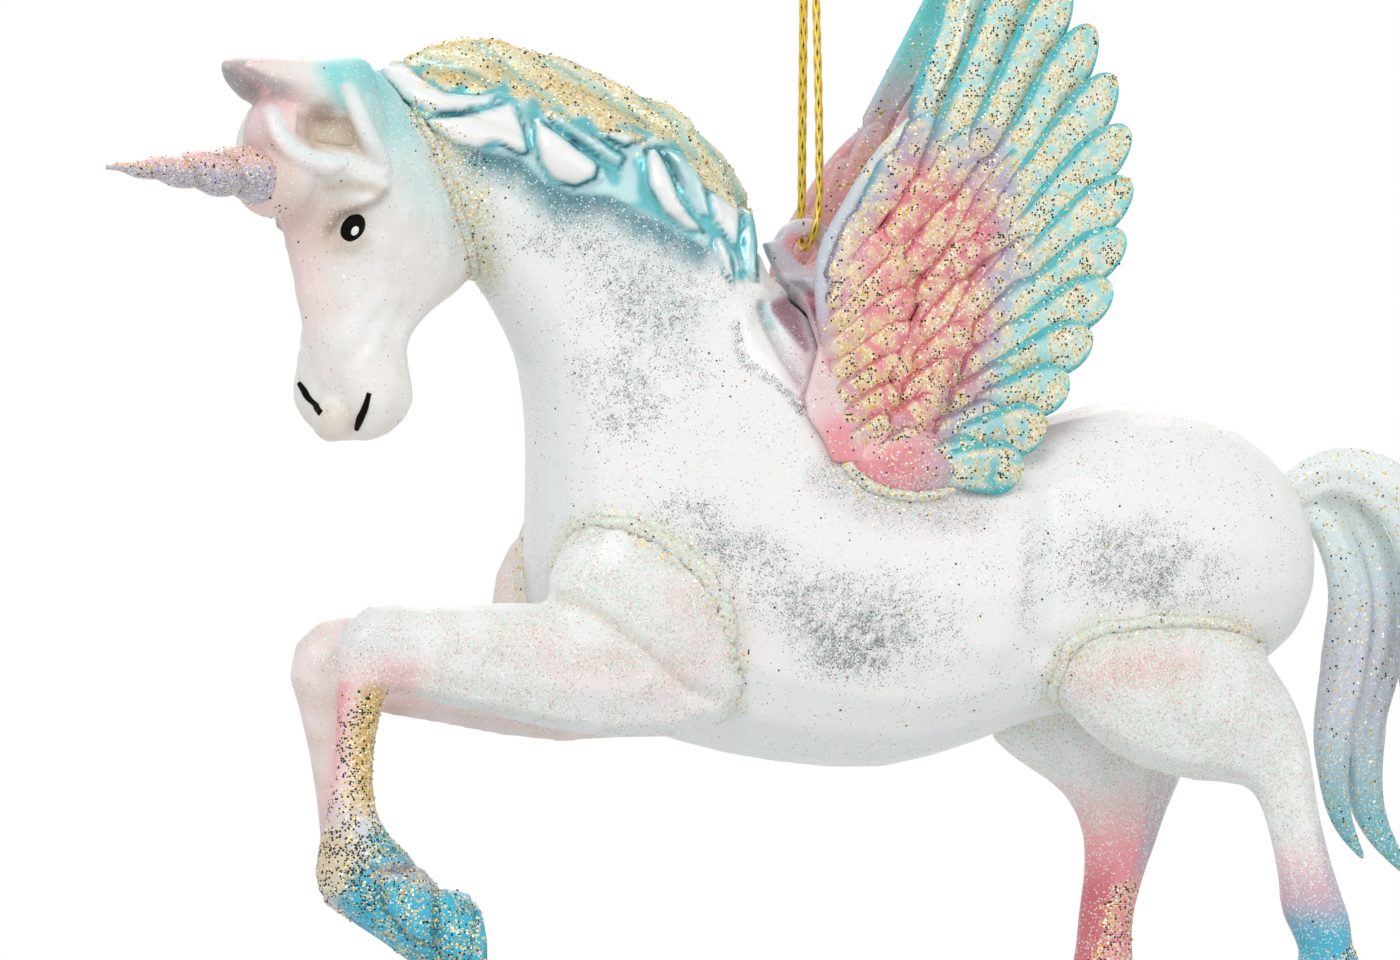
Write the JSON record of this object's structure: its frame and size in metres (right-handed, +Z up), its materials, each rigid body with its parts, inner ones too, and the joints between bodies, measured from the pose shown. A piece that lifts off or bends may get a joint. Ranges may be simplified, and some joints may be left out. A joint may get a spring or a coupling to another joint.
{
  "type": "hanging glass ornament",
  "caption": "Winged unicorn ornament: hollow silvered glass body with glued-on cast head, horn, legs, wings and tail, hung from a gold cord loop through an eyelet on its saddle.",
  "frame": {"origin": "the point inside the top of the cord loop, under its knot, where a hook or branch carries the ornament", "axes": "+Z up along the hanging cord, -X the way the unicorn faces, -Y its left side"},
  "size_m": [0.1851, 0.0447, 0.1709],
  "materials": {
    "pearl_glass": "silvered inside, pearl frost outside",
    "pearl_resin": "pearl paint with glitter",
    "lilac_resin": "satin pearl paint",
    "blush_resin": "pearl paint with gold glitter",
    "teal_resin": "pearl paint with glitter",
    "glitter_glue": "clear glue full of glitter",
    "gold_cord": "metallic thread"
  },
  "bodies": {
    "knot": {"cord_knot": "gold_cord"},
    "cord": {"cord": "gold_cord"},
    "ornament": {"glass_body": "pearl_glass", "head": "pearl_resin", "horn": "lilac_resin", "wing_saddle": "lilac_resin", "wing_left": "blush_resin", "wing_left_bead": "glitter_glue", "wing_right": "blush_resin", "wing_right_bead": "glitter_glue", "foreleg_left": "pearl_resin", "foreleg_left_bead": "glitter_glue", "foreleg_right": "pearl_resin", "foreleg_right_bead": "glitter_glue", "hindleg_left": "pearl_resin", "hindleg_left_bead": "glitter_glue", "hindleg_right": "pearl_resin", "hindleg_right_bead": "glitter_glue", "tail": "teal_resin", "neck_bead": "glitter_glue"}
  },
  "joints": [
    {"name": "cord_twist", "type": "hinge", "parent": "knot", "child": "cord", "pos_m": [0, 0, 0], "axis": [0, 0, 1], "range_deg": [-90, 90], "stiffness_Nm_per_rad": 0.00004},
    {"name": "eyelet_swing", "type": "hinge", "parent": "cord", "child": "ornament", "pos_m": [0, 0, -0.05165], "axis": [0, 1, 0], "range_deg": [-38, 38]}
  ]
}
